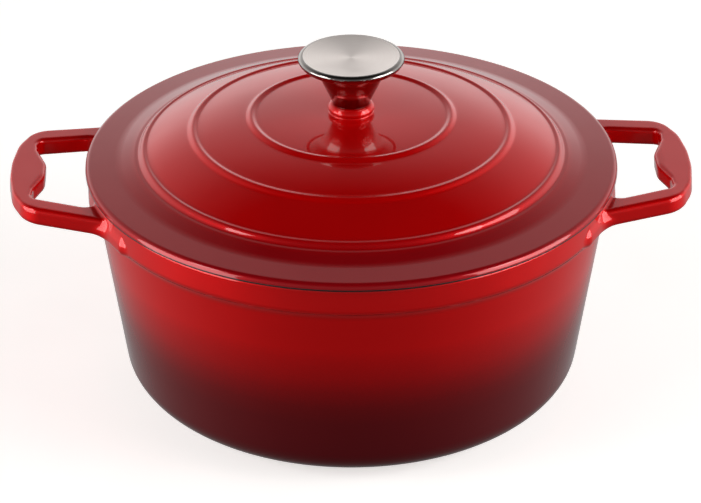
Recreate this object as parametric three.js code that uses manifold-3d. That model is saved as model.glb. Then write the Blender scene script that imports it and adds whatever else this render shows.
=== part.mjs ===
// Enamelled cast iron dutch oven, 26 cm across the lid, with a steel knob.
// Millimetres, +Z up. The origin is under the middle of the pot, on the surface it stands on.
// The two loop handles lie along X.
import * as THREE from 'three';
import { mergeVertices } from 'three/addons/utils/BufferGeometryUtils.js';
import Module from 'manifold-3d';

const wasm = await Module();
wasm.setup();

// ---- driving dimensions ----
const assemblyGap = 0.3; // clearance left between neighbouring pieces
const bodySteps = 60; // facets round the pot and the lid
const knobSteps = 36; // facets round the knob and its fixings

const rimHeight = 118; // height of the pot's rim
const rimRadius = 130; // outside of the collar that stiffens the rim
const collarDepth = 14; // height of that collar
const collarStep = 3.1; // how far the collar stands out from the wall
const wallTaper = 0.14; // outward slope of the wall per unit of height
const wallThickness = 4.6;
const floorThickness = 5.5;
const footRadius = 85; // outer edge of the flat foot
const footInnerRadius = 70; // the bottom is relieved inside this radius
const footRelief = 1.2;

const handleMidHeight = 111.5; // half way up the handle's section, at handlePivot from the axis
const handlePivot = 135;
const handleTilt = THREE.MathUtils.degToRad(4.2); // the loops rise slightly outwards
const handleThickness = 9.3;
const handleEdge = 2.4; // rounding of the loop's edges

const lidRadius = 132;
const lidEdge = 118.3; // underside of the lid's lip
const lidThickness = 4.2;
const flangeRadius = 122.6; // locating flange that drops inside the rim
const flangeDepth = 4.8;
const screwHole = 2.9;
const bossRadius = 11.6;
const bossTop = 151.4;
const beads = [
  { radius: 104, crest: 128 },
  { radius: 78.5, crest: 139.3 },
  { radius: 49.5, crest: 145.4 },
];
const beadHalfWidth = 2.3;
const beadHeight = 1.1;
const nubRings = [
  { radius: 34, count: 6 },
  { radius: 66, count: 12 },
];
const nubRadius = 2.6;
const nubLength = 3.2;

const knobRadius = 26;
const knobTop = 176.7;
const capSheet = 1.5; // thickness of the knob's top disc
const capDish = 1.2; // how far the middle of the disc sits below its edge
const stemSheet = 1.3; // thickness of the flared stem's wall
const screwRadius = 2.45;

// ---- helpers ----
// Shared corners become one vertex, and triangles that collapse on the axis are dropped.
function toSolid(geometry) {
  const bare = geometry.clone();
  bare.deleteAttribute('normal');
  bare.deleteAttribute('uv');
  const merged = mergeVertices(bare, 1e-3);
  const corners = merged.index.array;
  const kept = [];
  for (let i = 0; i < corners.length; i += 3) {
    const [a, b, c] = corners.slice(i, i + 3);
    if (a !== b && b !== c && c !== a) {
      kept.push(a, b, c);
    }
  }
  return new wasm.Manifold(new wasm.Mesh({
    numProp: 3,
    vertProperties: new Float32Array(merged.attributes.position.array),
    triVerts: new Uint32Array(kept),
  }));
}

function toGeometry(solid) {
  const mesh = solid.getMesh();
  const geometry = new THREE.BufferGeometry();
  geometry.setAttribute('position', new THREE.BufferAttribute(mesh.vertProperties, 3));
  geometry.setIndex(new THREE.BufferAttribute(mesh.triVerts, 1));
  geometry.computeVertexNormals();
  return geometry;
}

// Turns a profile of [radius, height] points round Z. The points run up the outside.
function turned(profile, steps) {
  const points = profile.map(([radius, height]) => new THREE.Vector2(radius, height));
  return new THREE.LatheGeometry(points, steps).rotateX(Math.PI / 2);
}

// A turned ring: its profile comes back to its first point.
function turnedRing(profile, steps) {
  return turned([...profile, profile[0]], steps);
}

// Points of a corner arc. It starts flat at the bottom and ends on a wall that leans by wallTaper.
function cornerArc(centre, floor, across, up, steps) {
  const end = Math.atan(wallTaper * up / across);
  const points = [];
  for (let i = 0; i <= steps; i += 1) {
    const angle = Math.PI / 2 + (end - Math.PI / 2) * i / steps;
    points.push([centre + across * Math.cos(angle), floor + up * (1 - Math.sin(angle))]);
  }
  return points;
}

// Adds a run of corners to a path. Each corner is [x, y, rounding radius].
function roundedOutline(path, corners) {
  corners.forEach(([x, y, radius], i) => {
    const before = corners[(i + corners.length - 1) % corners.length];
    const after = corners[(i + 1) % corners.length];
    const corner = new THREE.Vector2(x, y);
    const back = new THREE.Vector2(before[0], before[1]).sub(corner).normalize();
    const ahead = new THREE.Vector2(after[0], after[1]).sub(corner).normalize();
    const half = Math.acos(back.dot(ahead)) / 2;
    const reach = radius / Math.tan(half);
    const centre = back.clone().add(ahead).normalize().multiplyScalar(radius / Math.sin(half)).add(corner);
    const from = back.multiplyScalar(reach).add(corner).sub(centre);
    const to = ahead.multiplyScalar(reach).add(corner).sub(centre);
    const turn = Math.atan2(from.x * to.y - from.y * to.x, from.dot(to));
    const steps = Math.max(1, Math.ceil(Math.abs(turn) / 0.3));
    for (let k = 0; k <= steps; k += 1) {
      const spot = from.clone().rotateAround(new THREE.Vector2(), turn * k / steps).add(centre);
      if (i === 0 && k === 0) {
        path.moveTo(spot.x, spot.y);
      } else {
        path.lineTo(spot.x, spot.y);
      }
    }
  });
  path.closePath();
  return path;
}

// Completes a half outline across the X axis, anticlockwise from its first corner at -Y.
function mirrored(corners) {
  const near = corners.map(([x, y, radius]) => [x, -y, radius]);
  return [...near, ...corners.toReversed()];
}

function finish(color, roughness, metalness) {
  return new THREE.MeshStandardMaterial({ color, roughness, metalness });
}

function piece(name, geometry, material) {
  const mesh = new THREE.Mesh(geometry, material);
  mesh.name = name;
  return mesh;
}

// ---- pot: one casting with both loop handles ----
const wallFoot = { across: 30, up: 21.2 }; // outer corner between the foot and the wall
const innerFoot = { centre: 84, across: 27, up: 19 }; // the cavity's corner

function handleLoop() {
  const outer = mirrored([
    [112, 64.5, 0],
    [119.2, 52.2, 9],
    [160, 42, 15],
    [166.9, 26, 30],
    [169.2, 8, 60],
  ]);
  const window = mirrored([
    [127.2, 24, 0],
    [123.9, 39.4, 6],
    [157.6, 30.4, 4.5],
    [157, 21, 7],
    [151.9, 6.5, 15],
  ]);
  const plan = roundedOutline(new THREE.Shape(), outer);
  plan.holes.push(roundedOutline(new THREE.Path(), window));
  const loop = new THREE.ExtrudeGeometry(plan, {
    depth: handleThickness - 2 * handleEdge,
    bevelEnabled: true,
    bevelThickness: handleEdge,
    bevelSize: handleEdge,
    bevelOffset: -handleEdge,
    bevelSegments: 2,
    curveSegments: 1,
  });
  loop.translate(-handlePivot, 0, -handleThickness / 2 + handleEdge);
  loop.rotateY(-handleTilt);
  loop.translate(handlePivot, 0, handleMidHeight);
  return loop;
}

function potCasting() {
  const collarFoot = rimHeight - collarDepth;
  const wallTop = rimRadius - collarStep;
  const outside = toSolid(turned([
    [0, footRelief],
    [footInnerRadius, footRelief],
    [footInnerRadius + 1.5, 0],
    ...cornerArc(footRadius, 0, wallFoot.across, wallFoot.up, 7),
    [wallTop, collarFoot - 1.2],
    [rimRadius - 0.8, collarFoot + 0.5],
    [rimRadius, collarFoot + 2],
    [rimRadius, rimHeight - 1.4],
    [rimRadius - 0.9, rimHeight],
    [0, rimHeight],
  ], bodySteps));
  const mouth = wallTop - wallThickness + wallTaper * collarDepth;
  const cavity = toSolid(turned([
    [0, floorThickness],
    ...cornerArc(innerFoot.centre, floorThickness, innerFoot.across, innerFoot.up, 6),
    [mouth, rimHeight - 0.8],
    [mouth + 0.8, rimHeight + 1],
    [0, rimHeight + 1],
  ], bodySteps));
  const loop = handleLoop();
  const right = toSolid(loop);
  const left = toSolid(loop.clone().rotateZ(Math.PI));
  return toGeometry(outside.add(right).add(left).subtract(cavity));
}

// ---- lid: one casting with three raised beads, a boss and a locating flange ----
// One half-round bead, from its outer foot to its inner foot, on a surface that leans by lean.
function beadPoints({ radius, crest }, lean) {
  const base = crest - beadHeight;
  return [
    [radius + beadHalfWidth, base - lean * beadHalfWidth],
    [radius + beadHalfWidth * 0.6, base + beadHeight * 0.75 - lean * beadHalfWidth * 0.6],
    [radius, crest],
    [radius - beadHalfWidth * 0.6, base + beadHeight * 0.75 + lean * beadHalfWidth * 0.6],
    [radius - beadHalfWidth, base + lean * beadHalfWidth],
  ];
}

function lidCasting() {
  const flangeFoot = lidEdge - flangeDepth;
  const underside = [
    [screwHole, beads[2].crest - lidThickness + 0.9],
    [14, beads[2].crest - lidThickness + 0.8],
    [beads[2].radius, beads[2].crest - lidThickness - 0.8],
    [beads[1].radius, beads[1].crest - lidThickness - 1.2],
    [92, 128.6],
    [beads[0].radius - 3, 123.4],
    [113.5, 119.2],
    [flangeRadius - 4.2, lidEdge - 1.6],
    [flangeRadius - 3.2, flangeFoot],
    [flangeRadius - 0.6, flangeFoot],
    [flangeRadius, flangeFoot + 0.8],
    [flangeRadius + 0.4, lidEdge],
  ];
  const topSide = [
    [lidRadius - 0.8, lidEdge],
    [lidRadius, lidEdge + 0.8],
    [lidRadius - 0.5, 120.4],
    [lidRadius - 1.6, 121.6],
    [lidRadius - 3.5, 122.2],
    [118, 123.3],
    [115.2, 123.8],
    [112.6, 125],
    [110, 126.1],
    ...beadPoints(beads[0], 0.2),
    [92, 133.5],
    ...beadPoints(beads[1], 0.35),
    [64, 142.2],
    ...beadPoints(beads[2], 0.15),
    [30, 146.1],
    [bossRadius - 1.2, 146.5],
    [bossRadius - 0.3, 147.6],
    [bossRadius, 148.8],
    [bossRadius - 0.4, 150],
    [bossRadius - 1.4, 151],
    [bossRadius - 2.6, bossTop],
    [screwHole, bossTop],
  ];
  let lid = toSolid(turnedRing([...underside, ...topSide], bodySteps));
  for (const { radius, count } of nubRings) {
    const root = radius < beads[2].radius ? 141.6 : 138.2;
    const nub = new THREE.ConeGeometry(nubRadius, nubLength + 2.4, 7).rotateX(-Math.PI / 2);
    nub.translate(radius, 0, root - nubLength / 2);
    for (let i = 0; i < count; i += 1) {
      lid = lid.add(toSolid(nub.clone().rotateZ(2 * Math.PI * (i + 0.5) / count)));
    }
  }
  return toGeometry(lid);
}

// ---- knob: a dished disc on a flared stem, clamped through the lid by one screw ----
function knobCap() {
  return turned([
    [0, knobTop - capDish - capSheet],
    [22.6, knobTop - 0.4 - capSheet],
    [23.8, knobTop - 2.4],
    [23.9, knobTop - 3.3],
    [24.2, knobTop - 3.6],
    [24.9, knobTop - 3.4],
    [25.6, knobTop - 2.5],
    [knobRadius, knobTop - 1.4],
    [25.8, knobTop - 0.7],
    [25.2, knobTop - 0.2],
    [24.2, knobTop],
    [22.4, knobTop - 0.2],
    [0, knobTop - capDish],
  ], knobSteps);
}

function knobStem() {
  const stemFoot = bossTop + assemblyGap;
  const outside = [
    [9, stemFoot],
    [15.6, 165.7],
    [16.7, 167.8],
    [18.6, 170.1],
    [20.6, 171.5],
    [23.4, 172.8],
    [23.4, 173.8],
  ];
  const inside = outside.map(([radius, height]) => [radius - stemSheet, height]).reverse();
  return turnedRing([...outside, ...inside], knobSteps);
}

// Threaded bush that fills the stem and takes the screw.
function knobInsert() {
  const foot = bossTop + assemblyGap;
  const head = knobTop - capDish - capSheet - assemblyGap;
  const thread = screwRadius + assemblyGap;
  return turned([
    [0, 166],
    [thread, 164.5],
    [thread, foot],
    [6.6, foot],
    [6.6, foot + 2.5],
    [5.2, foot + 3.6],
    [5.2, head],
    [0, head],
  ], 24);
}

const washerTop = beads[2].crest - lidThickness + 0.8 - assemblyGap;
const washerThickness = 1;
const lockWasherTop = washerTop - washerThickness - assemblyGap;
const lockWasherThickness = 1.2;
const screwHeadTop = lockWasherTop - lockWasherThickness - assemblyGap;

function flatWasher() {
  return turnedRing([
    [7.5, washerTop - washerThickness],
    [7.5, washerTop],
    [screwRadius + assemblyGap, washerTop],
    [screwRadius + assemblyGap, washerTop - washerThickness],
  ], 24);
}

// Split spring washer: a ring with a narrow slot through it.
function lockWasher() {
  const ring = toSolid(turnedRing([
    [4.6, lockWasherTop - lockWasherThickness],
    [4.6, lockWasherTop],
    [screwRadius + assemblyGap, lockWasherTop],
    [screwRadius + assemblyGap, lockWasherTop - lockWasherThickness],
  ], 24));
  const slot = new THREE.BoxGeometry(4, 0.8, 6).rotateX(0.4).translate(3.8, 0, lockWasherTop - 0.6);
  return toGeometry(ring.subtract(toSolid(slot)));
}

// Pan head screw with a cross recess, put in from under the lid.
function knobScrew() {
  const headHeight = 3;
  const tip = 163;
  const blank = toSolid(turned([
    [0, screwHeadTop - headHeight],
    [3, screwHeadTop - headHeight],
    [4.4, screwHeadTop - headHeight + 1],
    [4.7, screwHeadTop],
    [screwRadius, screwHeadTop],
    [screwRadius, tip - 0.8],
    [screwRadius - 0.7, tip],
    [0, tip],
  ], 24));
  const slot = new THREE.BoxGeometry(4.6, 1, 3).translate(0, 0, screwHeadTop - headHeight);
  const cross = toSolid(slot).add(toSolid(slot.clone().rotateZ(Math.PI / 2)));
  return toGeometry(blank.subtract(cross));
}

// ---- assembly ----
const redEnamel = finish('#9b1416', 0.12, 0);
const darkEnamel = finish('#8c1016', 0.12, 0);
const brushedSteel = finish('#c9c4bf', 0.32, 1);
const polishedSteel = finish('#b9b5b2', 0.1, 1);
const platedSteel = finish('#a9a9a6', 0.3, 1);

const pot = new THREE.Group();
pot.add(piece('pot', potCasting(), darkEnamel));

const lid = new THREE.Group();
lid.add(piece('lid', lidCasting(), redEnamel));
lid.add(piece('knob_cap', knobCap(), brushedSteel));
lid.add(piece('knob_stem', knobStem(), polishedSteel));
lid.add(piece('knob_insert', knobInsert(), platedSteel));
lid.add(piece('knob_screw', knobScrew(), platedSteel));
lid.add(piece('knob_washer', flatWasher(), platedSteel));
lid.add(piece('knob_lock_washer', lockWasher(), platedSteel));

const dutchOven = new THREE.Group();
dutchOven.add(pot, lid);

export default dutchOven;
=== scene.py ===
import math

import bmesh
import bpy
import numpy as np
from mathutils import Matrix, Vector


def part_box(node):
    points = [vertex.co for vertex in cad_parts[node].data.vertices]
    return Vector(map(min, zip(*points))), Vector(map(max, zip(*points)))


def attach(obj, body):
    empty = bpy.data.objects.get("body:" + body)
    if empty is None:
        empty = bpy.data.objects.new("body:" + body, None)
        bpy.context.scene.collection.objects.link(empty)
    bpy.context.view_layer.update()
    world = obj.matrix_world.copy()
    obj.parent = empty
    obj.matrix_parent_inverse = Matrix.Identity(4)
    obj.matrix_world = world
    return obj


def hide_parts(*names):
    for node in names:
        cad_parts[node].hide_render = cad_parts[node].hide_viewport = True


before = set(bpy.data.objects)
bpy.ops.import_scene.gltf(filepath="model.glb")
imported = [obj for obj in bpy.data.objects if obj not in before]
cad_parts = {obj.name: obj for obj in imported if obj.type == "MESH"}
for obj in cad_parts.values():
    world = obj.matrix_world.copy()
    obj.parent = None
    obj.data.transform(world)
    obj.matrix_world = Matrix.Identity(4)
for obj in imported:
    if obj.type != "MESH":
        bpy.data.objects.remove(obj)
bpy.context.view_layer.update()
print("frame loaded:", sorted(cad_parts))

mm = 0.001  # profiles and outlines below are in millimetres
scene = bpy.context.scene
scene.view_settings.view_transform = "Standard"  # keeps the enamel as saturated as fired glass is


# sRGB hex to the linear colour that the nodes take
def linearColor(code, alpha=1.0):
    parts = [int(code[i:i + 2], 16) / 255 for i in (1, 3, 5)]
    linear = [c / 12.92 if c <= 0.04045 else ((c + 0.055) / 1.055) ** 2.4 for c in parts]
    return (*linear, alpha)


# adds a node, applies its settings, then sets or links its inputs
def addNode(tree, kind, inputs=None, **settings):
    made = tree.nodes.new(kind)
    for name, value in settings.items():
        setattr(made, name, value)
    for name, value in (inputs or {}).items():
        if isinstance(value, bpy.types.NodeSocket):
            tree.links.new(value, made.inputs[name])
        else:
            made.inputs[name].default_value = value
    return made


# stops are (place, hex colour or grey value)
def setRamp(ramp, stops):
    elements = ramp.color_ramp.elements
    while len(elements) < len(stops):
        elements.new(0.5)
    for element, (position, value) in zip(elements, stops):
        element.position = position
        element.color = linearColor(value) if isinstance(value, str) else (value, value, value, 1)
    return ramp.outputs["Color"]


def newMaterial(name):
    material = bpy.data.materials.new(name)
    material.use_nodes = True
    tree = material.node_tree
    tree.nodes.clear()
    shader = addNode(tree, "ShaderNodeBsdfPrincipled")
    addNode(tree, "ShaderNodeOutputMaterial", {"Surface": shader.outputs["BSDF"]})
    position = addNode(tree, "ShaderNodeTexCoord").outputs["Object"]
    return material, tree, shader, position


# distance from the pot's axis, for patterns that run round it
def axisDistance(tree, position):
    flat = addNode(tree, "ShaderNodeVectorMath", {0: position, 1: (1, 1, 0)}, operation="MULTIPLY")
    return addNode(tree, "ShaderNodeVectorMath", {0: flat.outputs[0]}, operation="LENGTH").outputs["Value"]


# Line through (x, y) or (x, y, rounding) corners. Roundings become arcs, with a support point beside
# each end so that the flats beside them shade flat.
def roundedPath(corners, arcStep=9.0, support=0.25):
    points = [np.array(corners[0][:2], float)]
    for before, here, after in zip(corners, corners[1:], corners[2:]):
        corner = np.array(here[:2], float)
        back = np.array(before[:2], float) - corner
        ahead = np.array(after[:2], float) - corner
        backLength, aheadLength = np.linalg.norm(back), np.linalg.norm(ahead)
        back /= backLength
        ahead /= aheadLength
        radius = here[2] if len(here) > 2 else 0
        half = math.acos(max(-1, min(1, back @ ahead))) / 2
        turn = math.pi - 2 * half
        if radius == 0 or turn < 1e-4:
            points.append(corner)
            continue
        reach = radius / math.tan(half)
        middle = back + ahead
        centre = corner + middle / np.linalg.norm(middle) * radius / math.sin(half)
        start = corner + back * reach - centre
        side = math.copysign(1, -(back[0] * ahead[1] - back[1] * ahead[0]))
        steps = max(2, math.ceil(math.degrees(turn) / arcStep))
        if backLength > reach + support * 2:
            points.append(corner + back * (reach + support))
        for k in range(steps + 1):
            a = side * turn * k / steps
            spin = np.array([[math.cos(a), -math.sin(a)], [math.sin(a), math.cos(a)]])
            points.append(centre + spin @ start)
        if aheadLength > reach + support * 2:
            points.append(corner + ahead * (reach + support))
    points.append(np.array(corners[-1][:2], float))
    return np.array(points)


def makeObject(name, vertices, faces, materials, faceMaterial=None):
    mesh = bpy.data.meshes.new(name)
    mesh.from_pydata([tuple(v) for v in vertices], [], [tuple(f) for f in faces])
    for material in materials:
        mesh.materials.append(material)
    if faceMaterial is not None:
        mesh.polygons.foreach_set("material_index", faceMaterial)
    mesh.polygons.foreach_set("use_smooth", [True] * len(mesh.polygons))
    mesh.update()
    made = bpy.data.objects.new(name, mesh)
    scene.collection.objects.link(made)
    return made


# Turns spans of (points, material number) round Z. The points run up the outside, in millimetres.
def turnedObject(name, spans, materials, steps=256, closed=False):
    rows = [spans[0][0][0]]
    rowMaterial = []
    for points, number in spans:
        for point in points:
            if np.linalg.norm(np.subtract(point, rows[-1])) > 1e-4:
                rows.append(point)
                rowMaterial.append(number)
    if closed:
        rowMaterial.append(spans[-1][1])
    rows = np.array(rows) * mm
    angles = np.arange(steps) * 2 * math.pi / steps
    vertices = []
    starts = []
    for radius, height in rows:
        starts.append(len(vertices))
        if radius < 1e-7:
            vertices.append((0, 0, height))
        else:
            vertices.extend((radius * math.cos(a), radius * math.sin(a), height) for a in angles)
    faces = []
    faceMaterial = []
    for i, number in enumerate(rowMaterial):
        j = (i + 1) % len(rows)
        lower, upper = starts[i], starts[j]
        for k in range(steps):
            n = (k + 1) % steps
            if rows[i][0] < 1e-7:
                face = (lower, upper + n, upper + k)
            elif rows[j][0] < 1e-7:
                face = (lower + k, lower + n, upper)
            else:
                face = (lower + k, lower + n, upper + n, upper + k)
            faces.append(face)
            faceMaterial.append(number)
    return makeObject(name, vertices, faces, materials, faceMaterial)


def place(piece, body, slot, *nodes):
    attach(piece, body)
    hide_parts(*nodes)
    return piece


# Vitreous enamel, sprayed on cast iron and fired: deep colour under a wet glass gloss that swims
# very slightly, because the fused coat is never quite level. The red frit is clear, and the ground
# coat under it throws the light back a little like foil, which gives the red its glow.
enamel = {
    "glossRoughness": 0.06,
    "groundRoughness": 0.36,
    "groundFoil": 0.4,
    "wave": 22,  # mm between the swells of the fired coat
    "waveHeight": 0.05,  # mm
    "peel": 2.2,  # mm between its orange-peel dimples, about twice the real size so that they show
    "peelHeight": 0.0035,
    "spray": 0.9,  # mm, droplets in the sprayed fade, coarser than the real mist so that they show
    "shift": 0.035,  # how far the droplets blur the fade
}


def enamelSurface(tree, shader, position, foil=0.0):
    wave = addNode(tree, "ShaderNodeTexNoise", {
        "Vector": position, "Scale": 1 / (enamel["wave"] * mm), "Detail": 1.0})
    peel = addNode(tree, "ShaderNodeTexNoise", {
        "Vector": position, "Scale": 1 / (enamel["peel"] * mm), "Detail": 1.5})
    swell = addNode(tree, "ShaderNodeBump", {
        "Height": wave.outputs["Fac"], "Distance": enamel["waveHeight"] * mm, "Strength": 1.0})
    dimples = addNode(tree, "ShaderNodeBump", {
        "Height": peel.outputs["Fac"], "Distance": enamel["peelHeight"] * mm, "Strength": 1.0,
        "Normal": swell.outputs["Normal"]})
    gloss = addNode(tree, "ShaderNodeMapRange", {
        "Value": wave.outputs["Fac"], "From Min": 0.3, "From Max": 0.7,
        "To Min": enamel["groundRoughness"] * 0.9, "To Max": enamel["groundRoughness"] * 1.1})
    tree.links.new(dimples.outputs["Normal"], shader.inputs["Normal"])
    tree.links.new(dimples.outputs["Normal"], shader.inputs["Coat Normal"])
    tree.links.new(gloss.outputs["Result"], shader.inputs["Roughness"])
    shader.inputs["Metallic"].default_value = foil
    shader.inputs["Specular IOR Level"].default_value = 0.0  # the glass surface is the coat alone
    shader.inputs["Coat Weight"].default_value = 1.0
    shader.inputs["Coat Roughness"].default_value = enamel["glossRoughness"]
    shader.inputs["Coat IOR"].default_value = 1.52  # soda-lime glass


# 0 to 1 from start to end (mm) along a distance, broken up by the sprayed droplets
def sprayedFade(tree, position, distance, start, end):
    droplets = addNode(tree, "ShaderNodeTexNoise", {
        "Vector": position, "Scale": 1 / (enamel["spray"] * mm), "Detail": 3.0})
    fade = addNode(tree, "ShaderNodeMapRange", {
        "Value": distance, "From Min": start * mm, "From Max": end * mm})
    shift = addNode(tree, "ShaderNodeMapRange", {
        "Value": droplets.outputs["Fac"], "To Min": -enamel["shift"], "To Max": enamel["shift"]})
    return addNode(tree, "ShaderNodeMath", {
        0: fade.outputs["Result"], 1: shift.outputs["Result"]}, operation="ADD").outputs[0]


# red sprayed over a maroon ground, so the colour sinks to maroon towards the foot
def ombreEnamelPot():
    material, tree, shader, position = newMaterial("ombreEnamelPot")
    height = addNode(tree, "ShaderNodeSeparateXYZ", {"Vector": position}).outputs["Z"]
    fade = sprayedFade(tree, position, height, 0, 100)
    ramp = addNode(tree, "ShaderNodeValToRGB", {"Fac": fade})
    color = setRamp(ramp, [
        (0.19, "#65060f"),
        (0.375, "#6b060e"),
        (0.47, "#7a050c"),
        (0.56, "#95040a"),
        (0.65, "#b40307"),
        (0.745, "#c70205"),
        (0.82, "#d80103"),
    ])
    tree.links.new(color, shader.inputs["Base Color"])
    enamelSurface(tree, shader, position, enamel["groundFoil"])
    return material


# the same red on the dome, sprayed thin outside the first bead, so the rim band is maroon
def ombreEnamelLid():
    material, tree, shader, position = newMaterial("ombreEnamelLid")
    fade = sprayedFade(tree, position, axisDistance(tree, position), 90, 132)
    ramp = addNode(tree, "ShaderNodeValToRGB", {"Fac": fade})
    color = setRamp(ramp, [
        (0.22, "#d80103"),
        (0.48, "#a9040f"),
        (1.0, "#a80511"),
    ])
    tree.links.new(color, shader.inputs["Base Color"])
    enamelSurface(tree, shader, position, enamel["groundFoil"])
    return material


# pale lining glass with fine grey specks, as cooking enamel has
def creamEnamel():
    material, tree, shader, position = newMaterial("creamEnamel")
    specks = addNode(tree, "ShaderNodeTexNoise", {
        "Vector": position, "Scale": 1 / (1.2 * mm), "Detail": 3.0})  # specks of about 0.5 mm
    ramp = addNode(tree, "ShaderNodeValToRGB", {"Fac": specks.outputs["Fac"]})
    color = setRamp(ramp, [(0.28, "#b3a690"), (0.36, "#e8dfcd")])
    tree.links.new(color, shader.inputs["Base Color"])
    enamelSurface(tree, shader, position)
    return material


# matte black ground coat, left bare where lid and pot touch, slightly gritty
def blackGroundCoat():
    material, tree, shader, position = newMaterial("blackGroundCoat")
    grit = addNode(tree, "ShaderNodeTexNoise", {
        "Vector": position, "Scale": 1 / (0.6 * mm), "Detail": 3.0})  # grit of about 0.3 mm
    ramp = addNode(tree, "ShaderNodeValToRGB", {"Fac": grit.outputs["Fac"]})
    color = setRamp(ramp, [(0.35, "#0c0b0c"), (0.7, "#242123")])
    bump = addNode(tree, "ShaderNodeBump", {
        "Height": grit.outputs["Fac"], "Distance": 0.03 * mm, "Strength": 1.0})
    rough = addNode(tree, "ShaderNodeMapRange", {
        "Value": grit.outputs["Fac"], "To Min": 0.38, "To Max": 0.55})
    tree.links.new(color, shader.inputs["Base Color"])
    tree.links.new(bump.outputs["Normal"], shader.inputs["Normal"])
    tree.links.new(rough.outputs["Result"], shader.inputs["Roughness"])
    return material


# stainless steel brushed in circles: its highlight opens into a fan from the middle
def brushedStainless():
    material, tree, shader, position = newMaterial("brushedStainless")
    lines = addNode(tree, "ShaderNodeTexNoise", {
        "W": axisDistance(tree, position), "Scale": 1 / (0.4 * mm), "Detail": 3.0,
        }, noise_dimensions="1D")  # brush lines are under 0.1 mm really, drawn coarser so that they show
    patches = addNode(tree, "ShaderNodeTexNoise", {
        "Vector": position, "Scale": 1 / (9 * mm), "Detail": 2.0})
    ramp = addNode(tree, "ShaderNodeValToRGB", {"Fac": lines.outputs["Fac"]})
    color = setRamp(ramp, [(0.3, "#f8ebe5"), (0.7, "#fff7f1")])
    rough = addNode(tree, "ShaderNodeMapRange", {
        "Value": patches.outputs["Fac"], "To Min": 0.3, "To Max": 0.4})
    bump = addNode(tree, "ShaderNodeBump", {
        "Height": lines.outputs["Fac"], "Distance": 0.003 * mm, "Strength": 1.0})
    around = addNode(tree, "ShaderNodeTangent", direction_type="RADIAL", axis="Z")
    tree.links.new(color, shader.inputs["Base Color"])
    tree.links.new(rough.outputs["Result"], shader.inputs["Roughness"])
    tree.links.new(bump.outputs["Normal"], shader.inputs["Normal"])
    tree.links.new(around.outputs["Tangent"], shader.inputs["Tangent"])
    shader.inputs["Metallic"].default_value = 1.0
    shader.inputs["Anisotropic"].default_value = 0.6
    shader.inputs["Anisotropic Rotation"].default_value = 0.25  # rough across the brush lines
    return material


# stainless steel polished on a wheel: a mirror with faint wiping marks
def polishedStainless():
    material, tree, shader, position = newMaterial("polishedStainless")
    wiping = addNode(tree, "ShaderNodeTexNoise", {
        "Vector": position, "Scale": 1 / (5 * mm), "Detail": 4.0})
    ramp = addNode(tree, "ShaderNodeValToRGB", {"Fac": wiping.outputs["Fac"]})
    # painted shade: this grey is darker than polished stainless really is, so that the stem under the cap
    # looks as dark as the shaded lid it mirrors
    color = setRamp(ramp, [(0.3, "#a8a29e"), (0.7, "#b9b3af")])
    rough = addNode(tree, "ShaderNodeMapRange", {
        "Value": wiping.outputs["Fac"], "To Min": 0.06, "To Max": 0.13})
    tree.links.new(color, shader.inputs["Base Color"])
    tree.links.new(rough.outputs["Result"], shader.inputs["Roughness"])
    shader.inputs["Metallic"].default_value = 1.0
    return material


# zinc-plated carbon steel: bluish grey with a soft crystalline mottle
def zincPlatedSteel():
    material, tree, shader, position = newMaterial("zincPlatedSteel")
    crystals = addNode(tree, "ShaderNodeTexVoronoi", {"Vector": position, "Scale": 1 / (0.8 * mm)})
    ramp = addNode(tree, "ShaderNodeValToRGB", {"Fac": crystals.outputs["Distance"]})
    color = setRamp(ramp, [(0.0, "#8f9395"), (1.0, "#b4b7b8")])
    rough = addNode(tree, "ShaderNodeMapRange", {
        "Value": crystals.outputs["Distance"], "To Min": 0.26, "To Max": 0.4})
    tree.links.new(color, shader.inputs["Base Color"])
    tree.links.new(rough.outputs["Result"], shader.inputs["Roughness"])
    shader.inputs["Metallic"].default_value = 1.0
    return material


potRed = ombreEnamelPot()
lidRed = ombreEnamelLid()
cream = creamEnamel()
black = blackGroundCoat()
brushed = brushedStainless()
polished = polishedStainless()
zinc = zincPlatedSteel()
print("materials made")

# pot casting, turned part
potLow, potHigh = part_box("pot")
pot = {
    "rim": 118,  # height of the rim
    "rimRadius": round(potHigh.y / mm, 1),  # outside of the collar
    "collarDepth": 14,
    "collarStep": 3.1,
    "taper": 0.14,
    "wall": 4.6,
    "floor": 5.5,
    "relief": 1.2,  # the bottom is hollowed by this inside the foot ring
    "reliefRadius": 70,
    "outerCorner": (85, 0, 30, 21.2),  # centre, floor, across, up
    "innerCorner": (84, 5.5, 27, 19),
}


# quarter ellipse from flat at the bottom to the lean of the wall
def footCorner(centre, floor, across, up, steps=18):
    end = math.atan(pot["taper"] * up / across)
    angles = np.linspace(math.pi / 2, end, steps + 1)
    return [(centre + across * math.cos(a), floor + up * (1 - math.sin(a))) for a in angles]


# the cavity is this wide at the rim
def mouthRadius():
    return pot["rimRadius"] - pot["collarStep"] - pot["wall"] + pot["taper"] * pot["collarDepth"]


def potWallOutside():
    wallTop = pot["rimRadius"] - pot["collarStep"]
    collarFoot = pot["rim"] - pot["collarDepth"]
    return [
        *footCorner(*pot["outerCorner"]),
        (wallTop, collarFoot - 1.3, 7),
        (pot["rimRadius"], collarFoot + 1.2, 4),
        (pot["rimRadius"], pot["rim"], 1.4),
        (pot["rimRadius"] - 3, pot["rim"]),
    ]


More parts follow.
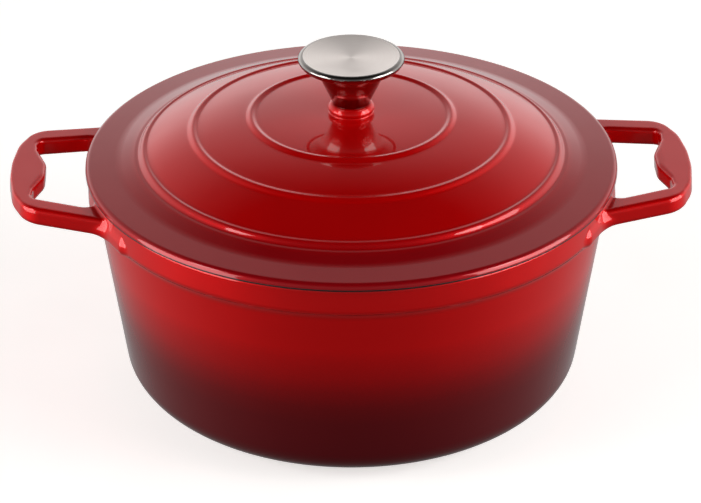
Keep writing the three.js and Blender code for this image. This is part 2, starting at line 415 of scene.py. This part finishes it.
def buildPotBody():
    reliefRadius, relief = pot["reliefRadius"], pot["relief"]
    mouth = mouthRadius()
    rim = pot["rim"]
    underside = roundedPath([(0, relief), (reliefRadius, relief, 0.8), (reliefRadius + 1.5, 0, 0.8), (85, 0)])
    wall = roundedPath(potWallOutside())
    cut = next(i for i, point in enumerate(wall) if point[1] > rim - 0.6)
    rimTop = roundedPath([tuple(wall[-1]), (mouth, rim, 1.0), (mouth - 0.14, rim - 2.4)])
    inside = [(mouth - 0.14, rim - 2.4), *reversed(footCorner(*pot["innerCorner"])), (0, pot["floor"])]
    spans = [(underside, 0), (wall[:cut + 1], 0), (wall[cut:], 1), (rimTop, 1), (inside, 2)]
    body = turnedObject("potBody", spans, [potRed, black, cream], steps=384)
    return place(body, "pot", "pot_enamel", "pot")


buildPotBody()
print("pot body made")

# The two loop handles are cast with the pot. Each is a field of distances turned into a mesh, so
# that its section is rounded all round and it flows into the collar with a cast fillet.
handle = {
    "midHeight": 111.5,  # half way up the section, at pivot from the axis
    "pivot": 135,
    "tilt": math.radians(4.2),  # the loops rise slightly outwards
    "thickness": 9.3,
    "edge": 2.4,  # rounding of the loop's edges
    "fillet": 7.5,
    "topFillet": 3.0,
    "outer": [(112, 64.5), (119.2, 52.2, 9), (160, 42, 15), (166.9, 26, 30), (169.2, 8, 60)],
    "window": [(127.2, 24), (123.9, 39.4, 6), (157.6, 30.4, 4.5), (157, 21, 7), (151.9, 6.5, 15)],
    "grid": 0.6,
    "gridLow": (107.0, -74.0, -18.0),  # corner of the grid, in the handle's own frame
    "gridHigh": (172, 74.1, 9),
    "root": 1.2,  # how far the handle goes under the pot's surface
    "rootMargin": 0.6,  # kept beyond the fillet
    "belowRim": 0.3,
    "insideWall": 1.9,  # the handles end this far short of the cavity
}


# rounded outline from its half above the X axis
def handleOutline(half):
    lower = [(x, -y, *rest) for x, y, *rest in half]
    corners = [*lower, *reversed(half)]
    loop = [corners[-1], *corners, corners[0]]
    return roundedPath(loop, arcStep=5, support=0)[1:-1]


def distanceToLoop(x, y, path):
    nearest = np.full(np.shape(x), 1e9)
    for (ax, ay), (bx, by) in zip(path, np.roll(path, -1, axis=0)):
        dx, dy = bx - ax, by - ay
        t = np.clip(((x - ax) * dx + (y - ay) * dy) / max(dx * dx + dy * dy, 1e-12), 0, 1)
        nearest = np.minimum(nearest, (x - ax - t * dx) ** 2 + (y - ay - t * dy) ** 2)
    return np.sqrt(nearest)


# distance to a closed outline, negative inside it
def outlineDistance(x, y, path):
    inside = np.zeros(np.shape(x), bool)
    for (ax, ay), (bx, by) in zip(path, np.roll(path, -1, axis=0)):
        crosses = (ay > y) != (by > y)
        slope = (bx - ax) / (by - ay) if by != ay else 0
        inside ^= crosses & (x < ax + slope * (y - ay))
    return np.where(inside, -1, 1) * distanceToLoop(x, y, path)


outerOutline = handleOutline(handle["outer"])
windowOutline = handleOutline(handle["window"])
wallLine = roundedPath(potWallOutside())
wallSection = np.array([(0, wallLine[0][1]), *wallLine, (0, pot["rim"])])


# distance to the loop seen from above
def loopDistance(x, y):
    return np.maximum(outlineDistance(x, y, outerOutline), -outlineDistance(x, y, windowOutline))


# distance to the loop with its edges rounded
def roundedLoop(plan, up):
    edge = handle["edge"]
    across = plan + edge
    above = np.abs(up) - handle["thickness"] / 2 + edge
    outside = np.hypot(np.maximum(across, 0), np.maximum(above, 0))
    return np.minimum(np.maximum(across, above), 0) + outside - edge


# from the handle's own tilted frame to the pot's
def handleToPot(x, y, up):
    c, s = math.cos(handle["tilt"]), math.sin(handle["tilt"])
    out = x - handle["pivot"]
    return handle["pivot"] + out * c - up * s, y, handle["midHeight"] + out * s + up * c


# handle and pot joined by a fillet, then each alone, and the height in the pot's frame
def handleField(x, y, up, plan):
    loop = roundedLoop(plan, up)
    px, py, pz = handleToPot(x, y, up)
    radius = np.hypot(px, py)
    body = outlineDistance(radius, pz, wallSection)
    ease = np.clip((up + 1) / 5, 0, 1)
    ease = ease * ease * (3 - 2 * ease)
    fillet = handle["fillet"] + (handle["topFillet"] - handle["fillet"]) * ease
    shrunk = body + 0.01  # the fillet dies out just under the pot's own surface
    near = np.maximum(fillet - np.abs(loop - shrunk), 0) / fillet
    joined = np.minimum(loop, shrunk) - near * near * fillet / 4
    return joined, body, loop, pz


# turns a grid of distances into quads on its zero level
def surfaceNets(values):
    inside = values < 0
    shape = np.array(values.shape) - 1
    total = np.zeros((*shape, 3))
    count = np.zeros(shape)
    corners = [(i, j, k) for i in (0, 1) for j in (0, 1) for k in (0, 1)]
    for a in corners:
        for axis in range(3):
            if a[axis]:
                continue
            b = tuple(1 if n == axis else a[n] for n in range(3))
            va = values[tuple(slice(o, o + n) for o, n in zip(a, shape))]
            vb = values[tuple(slice(o, o + n) for o, n in zip(b, shape))]
            crosses = (va < 0) != (vb < 0)
            t = np.where(crosses, va / np.where(crosses, va - vb, 1), 0)
            for n in range(3):
                total[..., n] += crosses * (a[n] + (t if n == axis else 0))
            count += crosses
    active = count > 0
    number = np.full(shape, -1)
    number[active] = np.arange(active.sum())
    places = np.argwhere(active) + total[active] / count[active][:, None]
    quads = []
    for axis in range(3):
        u, v = (axis + 1) % 3, (axis + 2) % 3
        first = np.take(inside, range(shape[axis]), axis=axis)
        second = np.take(inside, range(1, shape[axis] + 1), axis=axis)
        spots = np.argwhere(first != second)
        within = (spots[:, u] > 0) & (spots[:, v] > 0) & (spots[:, u] < shape[u]) & (spots[:, v] < shape[v])
        spots = spots[within]
        ring = []
        for du, dv in ((-1, -1), (0, -1), (0, 0), (-1, 0)):
            cell = spots.copy()
            cell[:, u] += du
            cell[:, v] += dv
            ring.append(number[cell[:, 0], cell[:, 1], cell[:, 2]])
        ring = np.stack(ring, axis=1)
        outward = first[spots[:, 0], spots[:, 1], spots[:, 2]]
        ring[~outward] = ring[~outward][:, ::-1]
        quads.append(ring)
    return places, np.concatenate(quads)


def buildHandles():
    step = handle["grid"]
    low = np.array(handle["gridLow"])
    x, y, up = (np.arange(a, b, step) for a, b in zip(handle["gridLow"], handle["gridHigh"]))
    planGrid = loopDistance(*np.meshgrid(x, y, indexing="ij"))
    plan = np.repeat(planGrid[:, :, None], len(up), axis=2)
    gx, gy, gu = np.meshgrid(x, y, up, indexing="ij")
    joined, body, loop, height = handleField(gx, gy, gu, plan)
    # a thin root inside the pot's wall
    keep = np.maximum(-(body + handle["root"]), loop - handle["fillet"] - handle["rootMargin"])
    values = np.maximum(np.maximum(joined, keep), height - pot["rim"] + handle["belowRim"])
    px, py, _ = handleToPot(gx, gy, gu)
    cavity = mouthRadius() - pot["taper"] * (pot["rim"] - height)
    values = np.maximum(values, cavity + handle["insideWall"] - np.hypot(px, py))
    places, quads = surfaceNets(values)
    points = low + places * step
    nudge = 0.02
    for _ in range(3):  # settles each point on the exact surface
        here = points.T
        value, body, loop, height = handleField(*here, loopDistance(*here[:2]))
        slope = []
        for axis in range(3):
            moved = points.copy()
            moved[:, axis] += nudge
            ahead = handleField(*moved.T, loopDistance(*moved.T[:2]))[0]
            slope.append((ahead - value) / nudge)
        slope = np.stack(slope, axis=1)
        onSurface = (np.abs(value) < step) & (body > -0.5) & (height < pot["rim"] - 0.5)
        shift = slope * (value / np.maximum((slope ** 2).sum(axis=1), 0.1))[:, None]
        points -= np.where(onSurface[:, None], shift, 0)
    px, py, pz = handleToPot(*points.T)
    right = np.stack([px, py, pz], axis=1) * mm
    for name, turn in (("potHandleRight", 1), ("potHandleLeft", -1)):
        piece = makeObject(name, right * (turn, turn, 1), quads, [potRed])
        place(piece, "pot", "pot_enamel", "pot")


buildHandles()
print("pot handles made")

# lid casting
lidLow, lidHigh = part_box("lid")
lid = {
    "radius": round(lidHigh.x / mm, 1),
    "edge": 118.3,  # underside of the lip
    "thickness": 4.3,
    "crown": 146.6,
    "fall": 19.6,  # how far the dome drops out to fallRadius
    "fallRadius": 104,
    "power": 2.95,
    "beads": [(103.3, 2.5, 1.15), (78.5, 2.9, 1.15), (49.5, 2.9, 1.15)],  # radius, half width, height
    "boss": (11.6, 148.8, round(lidHigh.z / mm, 1)),  # radius, height of its widest place, top
    "screwHole": 2.9,
    "flange": (122.6, 113.5),
    "nubs": [(34, 6), (66, 12)],  # radius, count
}


def domeHeight(radius):
    height = lid["crown"] - lid["fall"] * (radius / lid["fallRadius"]) ** lid["power"]
    for centre, halfWidth, rise in lid["beads"]:
        across = abs(radius - centre) / halfWidth
        if across < 1:
            height += rise * math.cos(across * math.pi / 2) ** 2
    return height


def buildLid():
    edge, lipRadius = lid["edge"], lid["radius"]
    flangeRadius, flangeFoot = lid["flange"]
    bossRadius, bossWide, bossTop = lid["boss"]
    hole = lid["screwHole"]
    inner = [(r, domeHeight(r) - lid["thickness"]) for r in np.linspace(6, 98, 36)
             if all(abs(r - b[0]) > b[1] for b in lid["beads"])]
    underside = [(hole, inner[0][1]), *inner]
    skirt = roundedPath([
        underside[-1],
        (101.5, 124.0, 8),
        (113.5, 119.2, 6),
        (flangeRadius - 4.0, 117.0, 1.5),
        (flangeRadius - 3.2, flangeFoot, 0.7),
        (flangeRadius, flangeFoot, 0.7),
        (flangeRadius + 0.4, edge, 0.6),
        (lipRadius - 3, edge),
    ])
    split = next(i for i, point in enumerate(skirt) if point[0] > flangeRadius - 4.6)
    rimLine = roundedPath([
        (lipRadius - 3, edge),
        (lipRadius, edge, 0.7),
        (lipRadius - 0.4, 121.95, 2.6),
        (115.6, 123.2, 15.0),
        (107.4, 125.8, 3.5),
        (106.0, 126.0, 0.8),
        (105.6, domeHeight(105.6)),
    ])
    bare = next(i for i, point in enumerate(rimLine) if point[1] > edge + 1.0)
    dome = [(r, domeHeight(r)) for r in sorted({*np.arange(16, 105.6, 1.5), *[
        centre + halfWidth * k / 8 for centre, halfWidth, _ in lid["beads"] for k in range(-8, 9)
        if centre + halfWidth * k / 8 < 105.55]}, reverse=True)]
    boss = roundedPath([
        (16, domeHeight(16)),
        (bossRadius - 1.4, 146.5, 0.6),
        (bossRadius + 0.35, bossWide, 1.9),
        (bossRadius - 1.5, bossTop, 1.6),
        (hole + 0.5, bossTop),
        (hole, bossTop - 0.5),
        (hole, bossTop - 2),
    ])
    spans = [(underside, 2), (skirt[:split + 1], 2), (skirt[split:], 1), (rimLine[:bare + 1], 1),
             (rimLine[bare:], 0), (dome, 0), (boss, 0)]
    casting = turnedObject("lidCasting", spans, [lidRed, black, cream], steps=336, closed=True)
    return place(casting, "lid", "lid_enamel", "lid")


# drip nubs on the underside, cast with the lid: blunt pegs with a flared root
def buildNubs():
    profile = roundedPath([(0, -3.2), (1.5, -3.2, 1.2), (2.2, -0.6, 2.0), (4.2, 0.3), (4.2, 0.9)], arcStep=15)
    vertices, faces = [], []
    around = 20
    for ring, count in lid["nubs"]:
        root = domeHeight(ring) - lid["thickness"]
        for i in range(count):
            a = 2 * math.pi * (i + 0.5) / count
            centre = Vector((ring * math.cos(a), ring * math.sin(a), root))
            first = len(vertices)
            vertices.append((centre + Vector((0, 0, profile[0][1]))) * mm)
            for radius, height in profile[1:]:
                for k in range(around):
                    b = 2 * math.pi * k / around
                    spot = Vector((radius * math.cos(b), radius * math.sin(b), height))
                    vertices.append((centre + spot) * mm)
            rows = len(profile) - 1
            for k in range(around):
                n = (k + 1) % around
                faces.append((first, first + 1 + n, first + 1 + k))
                for row in range(rows - 1):
                    low = first + 1 + row * around
                    faces.append((low + k, low + n, low + around + n, low + around + k))
            faces.append(tuple(first + 1 + (rows - 1) * around + k for k in range(around)))
    nubs = makeObject("lidDripNubs", vertices, faces, [cream])
    return place(nubs, "lid", "lid_enamel", "lid")


buildLid()
buildNubs()
print("lid made")

# knob: a dished disc with a rolled edge on a flared stem
knob = {
    "radius": 26,
    "top": 176.7,
    "dish": 1.2,
    "sheet": 1.5,
    "stemSheet": 1.3,
    "stemFoot": 151.7,
    "rolledEdge": 2.3,  # the brushed face stops this far inside the edge
    "hem": (23.9, 24.8, 4.1),  # inner and outer radius, and depth below the top
    "stemEdge": (23.4, 2.9),  # radius, and depth below the top, inside the cap's hem
}


def buildKnobCap():
    top, radius, sheet = knob["top"], knob["radius"], knob["sheet"]
    dish = top - knob["dish"]
    lip = radius - knob["rolledEdge"]
    hemInside, hemOutside, hemDepth = knob["hem"]
    under = roundedPath([
        (0, dish - sheet),
        (22.6, top - 0.4 - sheet, 1.0),
        (23.8, top - 2.4, 0.4),
        (hemInside, top - hemDepth, 0.2),
        (hemOutside, top - hemDepth, 0.3),
        (radius + 0.1, top - 2.3, 1.7),
        (radius, top, 2.1),
        (lip, top - 0.15),
    ])
    face = [tuple(under[-1])]
    for r in np.linspace(lip - 0.6, 0, 22):
        face.append((r, dish + (knob["dish"] - 0.15) * (r / lip) ** 2))
    cap = turnedObject("knobCap", [(under, 0), (face, 1)], [polished, brushed], steps=160)
    return place(cap, "lid", "brushed_steel", "knob_cap")


def buildKnobStem():
    edgeRadius, edgeDepth = knob["stemEdge"]
    outside = roundedPath([
        (9.0, knob["stemFoot"], 0.2),
        (16.6, 168.0, 7),
        (edgeRadius, 172.9, 0.4),
        (edgeRadius, knob["top"] - edgeDepth),
    ], arcStep=3)
    inside = outside - (knob["stemSheet"], 0)
    stem = turnedObject("knobStem", [(outside, 0), (inside[::-1], 0)], [polished], steps=160, closed=True)
    return place(stem, "lid", "polished_steel", "knob_stem")


buildKnobCap()
buildKnobStem()
print("knob made")

# fixings under the lid
fixing = {
    "shank": 2.45,
    "gap": 0.3,
    "washerRadius": 7.5,
    "lockWasherRadius": 4.6,
    "head": (4.7, 3.0),
    "recess": (2.3, 0.5, 1.5),  # half length, half width and depth of the cross
}


def buildWasher():
    low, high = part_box("knob_washer")
    radius, bore = fixing["washerRadius"], fixing["shank"] + fixing["gap"]
    bottom, top = low.z / mm, high.z / mm
    ring = roundedPath([
        (bore, bottom + 0.3),
        (bore, bottom, 0.15),
        (radius, bottom, 0.3),
        (radius, top, 0.15),
        (bore, top, 0.15),
        (bore, bottom + 0.35),
    ], support=0.1)
    washer = turnedObject("knobWasher", [(ring, 0)], [zinc], steps=64, closed=True)
    return place(washer, "lid", "plated_steel", "knob_washer")


# small machined bevel on the sharp edges, with flat faces kept flat
def soften(piece, width):
    bevel = piece.modifiers.new("edges", "BEVEL")
    bevel.width = width * mm
    bevel.segments = 2
    bevel.limit_method = "ANGLE"
    bevel.harden_normals = True


# split ring that rises by a fraction of its thickness round the turn
def buildLockWasher():
    low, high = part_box("knob_lock_washer")
    radius, bore = fixing["lockWasherRadius"], fixing["shank"] + fixing["gap"]
    bottom, top = low.z / mm, high.z / mm
    lift = 0.15
    section = [(bore, bottom + lift), (radius, bottom + lift), (radius, top - lift), (bore, top - lift)]
    steps, gap = 60, 0.18
    vertices, faces = [], []
    for k in range(steps + 1):
        a = gap / 2 + (2 * math.pi - gap) * k / steps
        rise = lift * (2 * k / steps - 1)
        vertices.extend((r * math.cos(a) * mm, r * math.sin(a) * mm, (z + rise) * mm) for r, z in section)
    for k in range(steps):
        for n in range(4):
            m = (n + 1) % 4
            faces.append((4 * k + n, 4 * k + 4 + n, 4 * k + 4 + m, 4 * k + m))
    faces.append((0, 1, 2, 3))
    faces.append(tuple(4 * steps + n for n in (3, 2, 1, 0)))
    washer = makeObject("knobLockWasher", vertices, faces, [zinc])
    soften(washer, 0.08)
    return place(washer, "lid", "plated_steel", "knob_lock_washer")


# pan head with a cross recess
def buildScrew():
    low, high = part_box("knob_screw")
    radius, height = fixing["head"]
    foot, tip, shank = low.z / mm, high.z / mm, fixing["shank"]
    line = roundedPath([
        (0, foot),
        (3.2, foot, 1.2),
        (radius - 0.2, foot + 1.2, 1.0),
        (radius, foot + height, 0.15),
        (shank, foot + height, 0.2),
        (shank, tip - 0.8, 0.3),
        (shank - 0.7, tip, 0.2),
        (0, tip),
    ], support=0.1)
    screw = turnedObject("knobScrew", [(line, 0)], [zinc], steps=64)
    half, wide, deep = fixing["recess"]
    tool = bmesh.new()
    for turn in (0, math.pi / 2):
        made = bmesh.ops.create_cube(tool, size=1)["verts"]
        bmesh.ops.scale(tool, vec=(2 * half * mm, 2 * wide * mm, 2 * deep * mm), verts=made)
        for vertex in made:
            if vertex.co.z > 0:  # the recess narrows towards its bottom
                vertex.co.x *= 0.55
                vertex.co.y *= 0.75
        bmesh.ops.rotate(tool, matrix=Matrix.Rotation(turn, 3, "Z"), verts=made)
    bmesh.ops.translate(tool, vec=(0, 0, foot * mm), verts=tool.verts)
    mesh = bpy.data.meshes.new("recessTool")
    tool.to_mesh(mesh)
    tool.free()
    cutter = bpy.data.objects.new("recessTool", mesh)
    scene.collection.objects.link(cutter)
    cut = screw.modifiers.new("recess", "BOOLEAN")
    cut.operation = "DIFFERENCE"
    cut.solver = "EXACT"
    cut.use_self = True
    cut.object = cutter
    bpy.context.view_layer.update()
    carved = bpy.data.meshes.new_from_object(screw.evaluated_get(bpy.context.evaluated_depsgraph_get()))
    screw.modifiers.clear()
    screw.data = carved
    screw.data.set_sharp_from_angle(angle=math.radians(35))
    bpy.data.objects.remove(cutter)
    return place(screw, "lid", "plated_steel", "knob_screw")


buildWasher()
buildLockWasher()
buildScrew()
# the insert is hidden inside the stem, so its own shape is kept
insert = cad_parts["knob_insert"]
insert.data.materials.clear()
insert.data.materials.append(zinc)
print("fixings made")

# studio: pale floor, soft surroundings, and on each side a softbox and a small accent light
studio = {
    "floor": "#f2f0ee",
    "floorGlow": 0.7,
    "floorHeight": -0.0003,  # just under the foot
    "boxDistance": 1.7,
    "boxHeight": 0.1,  # height that the boxes circle round
    "boxAzimuth": 71,  # degrees from the camera's side
    "boxSize": 1.5,
    "boxPower": 19,
    "sides": [("Right", 1, 1.3, 10), ("Left", -1, 1.15, 4)],  # side, share of the power, softbox elevation
    "accent": (66, 32, 0.4, 2.6),  # azimuth, elevation, size, power
    "surround": 1.0,
}


def pressedPaper():
    material, tree, shader, position = newMaterial("pressedPaper")
    fibre = addNode(tree, "ShaderNodeTexNoise", {
        "Vector": position, "Scale": 1 / (60 * mm), "Detail": 3.0})  # cloudiness of a paper roll
    ramp = addNode(tree, "ShaderNodeValToRGB", {"Fac": fibre.outputs["Fac"]})
    color = setRamp(ramp, [(0.3, "#f0eeec"), (0.7, studio["floor"])])
    tree.links.new(color, shader.inputs["Base Color"])
    tree.links.new(color, shader.inputs["Emission Color"])
    shader.inputs["Emission Strength"].default_value = studio["floorGlow"]
    shader.inputs["Roughness"].default_value = 0.9
    shader.inputs["Specular IOR Level"].default_value = 0.0
    return material


def buildFloor():
    vertices = [(x, y, studio["floorHeight"]) for x, y in ((-8, -8), (8, -8), (8, 8), (-8, 8))]
    floor = makeObject("floor", vertices, [(0, 1, 2, 3)], [pressedPaper()])
    # the enamel mirrors the soft surroundings below, not the paper, which stays a plain white sweep
    floor.visible_diffuse = False
    floor.visible_glossy = False
    floor.visible_shadow = False


# surroundings: brightest a little above the horizon behind the pot, dimmer below it, dark overhead
# and on the camera's side
def buildSurroundings():
    world = bpy.data.worlds.new("studio")
    scene.world = world
    world.use_nodes = True
    tree = world.node_tree
    tree.nodes.clear()
    direction = addNode(tree, "ShaderNodeTexCoord").outputs["Generated"]
    axes = addNode(tree, "ShaderNodeSeparateXYZ", {"Vector": direction})
    height = addNode(tree, "ShaderNodeMapRange", {
        "Value": axes.outputs["Z"], "From Min": -1.0, "From Max": 1.0})
    depth = addNode(tree, "ShaderNodeMapRange", {
        "Value": axes.outputs["Y"], "From Min": -1.0, "From Max": 1.0})
    byHeight = setRamp(addNode(tree, "ShaderNodeValToRGB", {"Fac": height.outputs["Result"]}), [
        (0.0, 0.1), (0.15, 0.22), (0.33, 0.5), (0.5, 1.0), (0.61, 1.1), (0.735, 0.58),
        (0.808, 0.4), (0.872, 0.16), (0.93, 0.02)])
    byDepth = setRamp(addNode(tree, "ShaderNodeValToRGB", {"Fac": depth.outputs["Result"]}), [
        (0.0, 0.2), (0.25, 0.42), (0.5, 0.72), (0.85, 0.95), (1.0, 1.1)])
    radiance = addNode(tree, "ShaderNodeVectorMath", {0: byHeight, 1: byDepth}, operation="MULTIPLY")
    glow = addNode(tree, "ShaderNodeBackground", {
        "Color": radiance.outputs[0], "Strength": studio["surround"]})
    addNode(tree, "ShaderNodeOutputWorld", {"Surface": glow.outputs["Background"]})


def buildSoftbox(name, azimuth, elevation, size, power):
    azimuth, elevation = math.radians(azimuth), math.radians(elevation)
    data = bpy.data.lights.new(name, "AREA")
    data.shape = "SQUARE"
    data.size = size
    data.energy = power
    box = bpy.data.objects.new(name, data)
    scene.collection.objects.link(box)
    away = Vector((
        math.cos(elevation) * math.sin(azimuth),
        -math.cos(elevation) * math.cos(azimuth),
        math.sin(elevation),
    ))
    box.location = away * studio["boxDistance"] + Vector((0, 0, studio["boxHeight"]))
    box.rotation_euler = away.to_track_quat("Z", "Y").to_euler()
    box.visible_camera = False


buildFloor()
buildSurroundings()
accentAzimuth, accentElevation, accentSize, accentPower = studio["accent"]
for name, side, share, elevation in studio["sides"]:
    buildSoftbox("softbox" + name, side * studio["boxAzimuth"], elevation,
                 studio["boxSize"], studio["boxPower"] * share)
    buildSoftbox("accent" + name, side * accentAzimuth, accentElevation, accentSize, accentPower)

# camera looks down a little over the lid from in front
view = {
    "target": Vector((-0.0005, 0, 0.0673)),
    "pivot": Vector((0, 0, 0.080)),
    "distance": 1.5648,
    "elevation": 0.496,
    "azimuth": 0.0325,
    "roll": -0.002,
    "lens": 159.7,
    "sensor": 36,
}


def buildCamera():
    data = bpy.data.cameras.new("camera")
    data.lens = view["lens"]
    data.sensor_width = view["sensor"]
    camera = bpy.data.objects.new("camera", data)
    scene.collection.objects.link(camera)
    flat = view["distance"] * math.cos(view["elevation"])
    away = Vector((
        -flat * math.sin(view["azimuth"]),
        -flat * math.cos(view["azimuth"]),
        view["distance"] * math.sin(view["elevation"]),
    ))
    camera.location = view["pivot"] + away
    aim = (view["target"] - camera.location).to_track_quat("-Z", "Y")
    camera.rotation_mode = "QUATERNION"
    camera.rotation_quaternion = aim @ Matrix.Rotation(view["roll"], 3, "Z").to_quaternion()
    scene.camera = camera


buildCamera()
print("studio and camera made")
